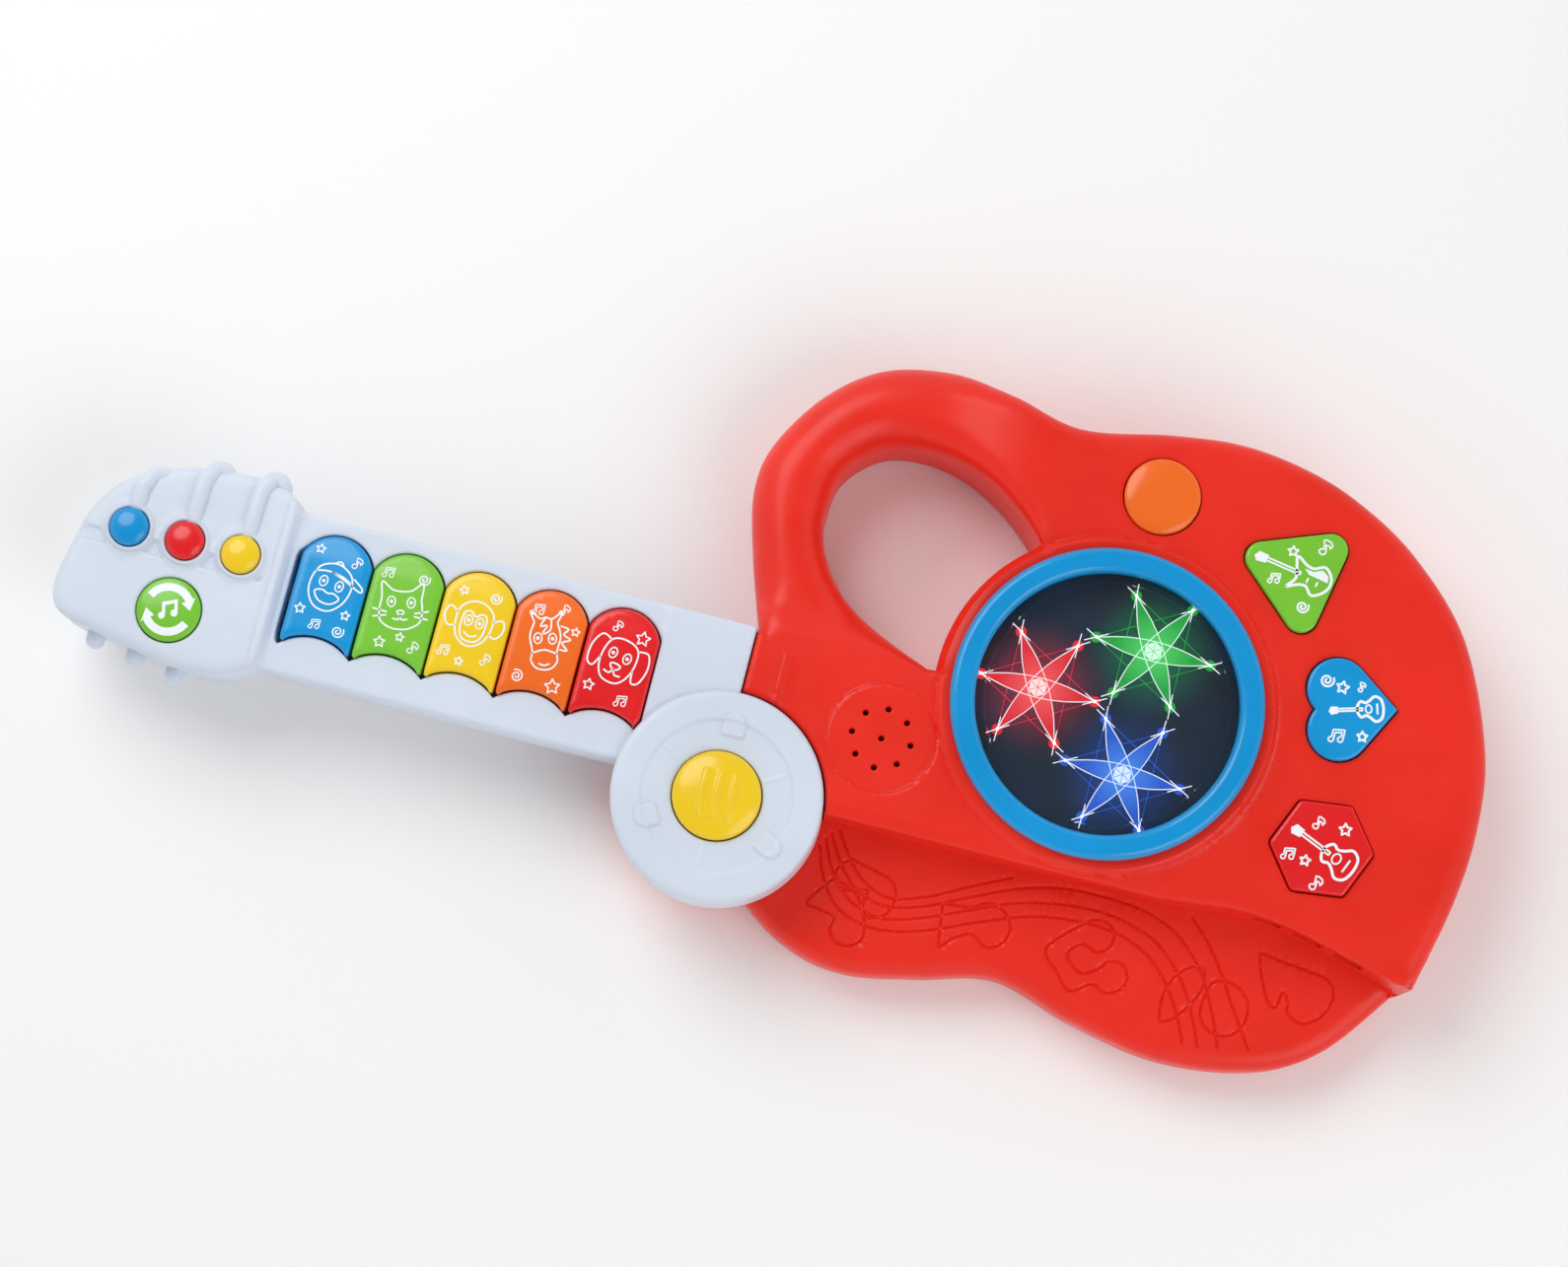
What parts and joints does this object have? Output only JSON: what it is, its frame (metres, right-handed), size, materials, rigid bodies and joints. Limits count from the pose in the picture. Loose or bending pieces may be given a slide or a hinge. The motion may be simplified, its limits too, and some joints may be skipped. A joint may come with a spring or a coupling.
{
  "type": "toy electric guitar",
  "caption": "Toy electronic guitar with a carrying handle, light window, shaped push buttons and a neck with piano keys that folds flat over the body.",
  "frame": {"origin": "middle of the footprint, on the surface that the toy lies on, face up", "axes": "+X from the headstock towards the body along the length, +Y towards the carrying handle, +Z out of the face"},
  "size_m": [0.431, 0.1871, 0.047],
  "materials": {
    "red_shell": "satin moulded ABS",
    "white_shell": "satin moulded ABS",
    "post_plastic": "moulded acetal",
    "steel": "zinc plated",
    "brass_contact": "stamped",
    "magnet_ferrite": "sintered",
    "cone_paper": "pressed paper",
    "blue_plastic": "gloss moulded ABS",
    "green_plastic": "gloss moulded ABS",
    "yellow_plastic": "gloss moulded ABS",
    "orange_plastic": "gloss moulded ABS",
    "cherry_plastic": "gloss moulded ABS",
    "smoked_window": "tinted clear polycarbonate",
    "star_print": "printed sheet",
    "circuit_board": "solder mask",
    "chip_resin": "potting resin",
    "silicone": "moulded silicone",
    "led_red": "tinted epoxy",
    "led_green": "tinted epoxy",
    "led_blue": "tinted epoxy",
    "cell_jacket": "plain sleeve",
    "black_plastic": "moulded",
    "red_wire": "PVC insulation",
    "black_wire": "PVC insulation",
    "grey_cable": "PVC sheath",
    "ribbon": "flat flexible cable"
  },
  "bodies": {
    "body": {"body_front_shell": "red_shell", "handle_front_shell": "red_shell", "deck_shell": "red_shell", "body_rear_shell": "red_shell", "body_screws": "steel", "window_bezel": "blue_plastic", "window_lens": "smoked_window", "star_panel": "star_print", "light_board": "circuit_board", "led_red": "led_red", "led_green": "led_green", "led_blue": "led_blue", "speaker_basket": "steel", "speaker_magnet": "magnet_ferrite", "speaker_cone": "cone_paper", "main_board": "circuit_board", "sound_chip": "chip_resin", "button_board": "circuit_board", "button_domes": "silicone", "battery_cells": "cell_jacket", "battery_springs": "steel", "battery_contacts": "brass_contact", "battery_door": "red_shell", "battery_door_screw": "steel", "switch_housing": "chip_resin", "speaker_leads": "red_wire", "battery_leads": "black_wire", "hinge_cable": "grey_cable", "hinge_post": "post_plastic", "hinge_washer": "post_plastic", "hinge_retainer": "steel", "hinge_screws": "steel"},
    "neck": {"neck_front_shell": "white_shell", "neck_rear_shell": "white_shell", "neck_screws": "steel", "hinge_disc": "white_shell", "key_board": "circuit_board", "key_domes": "silicone", "head_board": "circuit_board", "head_domes": "silicone", "strum_board": "circuit_board", "strum_dome": "silicone", "neck_ribbon": "ribbon"},
    "key_blue": {"key_blue": "blue_plastic"},
    "key_green": {"key_green": "green_plastic"},
    "key_yellow": {"key_yellow": "yellow_plastic"},
    "key_orange": {"key_orange": "orange_plastic"},
    "key_red": {"key_red": "cherry_plastic"},
    "head_button_blue": {"head_button_blue": "blue_plastic"},
    "head_button_red": {"head_button_red": "cherry_plastic"},
    "head_button_yellow": {"head_button_yellow": "yellow_plastic"},
    "arrows_button": {"arrows_button": "green_plastic"},
    "strum_button": {"strum_button": "yellow_plastic"},
    "orange_button": {"orange_button": "orange_plastic"},
    "triangle_button": {"triangle_button": "green_plastic"},
    "heart_button": {"heart_button": "blue_plastic"},
    "hexagon_button": {"hexagon_button": "cherry_plastic"},
    "switch_knob": {"switch_knob": "black_plastic"}
  },
  "joints": [
    {"name": "neck_fold", "type": "hinge", "parent": "body", "child": "neck", "pos_m": [-0.0055, -0.0515, 0.03], "axis": [0, 0, 1], "range_deg": [0, 180]},
    {"name": "key_blue_press", "type": "slide", "parent": "neck", "child": "key_blue", "axis": [0, 0, -1], "range_m": [0, 0.0014], "stiffness_N_per_m": 600, "springref_m": -0.001, "deforming": ["key_domes"]},
    {"name": "key_green_press", "type": "slide", "parent": "neck", "child": "key_green", "axis": [0, 0, -1], "range_m": [0, 0.0014], "stiffness_N_per_m": 600, "springref_m": -0.001},
    {"name": "key_yellow_press", "type": "slide", "parent": "neck", "child": "key_yellow", "axis": [0, 0, -1], "range_m": [0, 0.0014], "stiffness_N_per_m": 600, "springref_m": -0.001},
    {"name": "key_orange_press", "type": "slide", "parent": "neck", "child": "key_orange", "axis": [0, 0, -1], "range_m": [0, 0.0014], "stiffness_N_per_m": 600, "springref_m": -0.001},
    {"name": "key_red_press", "type": "slide", "parent": "neck", "child": "key_red", "axis": [0, 0, -1], "range_m": [0, 0.0014], "stiffness_N_per_m": 600, "springref_m": -0.001},
    {"name": "head_button_blue_press", "type": "slide", "parent": "neck", "child": "head_button_blue", "axis": [0, 0, -1], "range_m": [0, 0.0018], "stiffness_N_per_m": 500, "springref_m": -0.001, "deforming": ["head_domes"]},
    {"name": "head_button_red_press", "type": "slide", "parent": "neck", "child": "head_button_red", "axis": [0, 0, -1], "range_m": [0, 0.0018], "stiffness_N_per_m": 500, "springref_m": -0.001},
    {"name": "head_button_yellow_press", "type": "slide", "parent": "neck", "child": "head_button_yellow", "axis": [0, 0, -1], "range_m": [0, 0.0018], "stiffness_N_per_m": 500, "springref_m": -0.001},
    {"name": "arrows_button_press", "type": "slide", "parent": "neck", "child": "arrows_button", "axis": [0, 0, -1], "range_m": [0, 0.0018], "stiffness_N_per_m": 500, "springref_m": -0.001},
    {"name": "strum_button_press", "type": "slide", "parent": "neck", "child": "strum_button", "axis": [0, 0, -1], "range_m": [0, 0.0018], "stiffness_N_per_m": 500, "springref_m": -0.001, "deforming": ["strum_dome"]},
    {"name": "orange_button_press", "type": "slide", "parent": "body", "child": "orange_button", "axis": [0, 0, -1], "range_m": [0, 0.0018], "stiffness_N_per_m": 600, "springref_m": -0.001, "deforming": ["button_domes"]},
    {"name": "triangle_button_press", "type": "slide", "parent": "body", "child": "triangle_button", "axis": [0, 0, -1], "range_m": [0, 0.0018], "stiffness_N_per_m": 600, "springref_m": -0.001},
    {"name": "heart_button_press", "type": "slide", "parent": "body", "child": "heart_button", "axis": [0, 0, -1], "range_m": [0, 0.0018], "stiffness_N_per_m": 600, "springref_m": -0.001},
    {"name": "hexagon_button_press", "type": "slide", "parent": "body", "child": "hexagon_button", "axis": [0, 0, -1], "range_m": [0, 0.0018], "stiffness_N_per_m": 600, "springref_m": -0.001},
    {"name": "power_slide", "type": "slide", "parent": "body", "child": "switch_knob", "axis": [1, 0, 0], "range_m": [0, 0.006]}
  ]
}
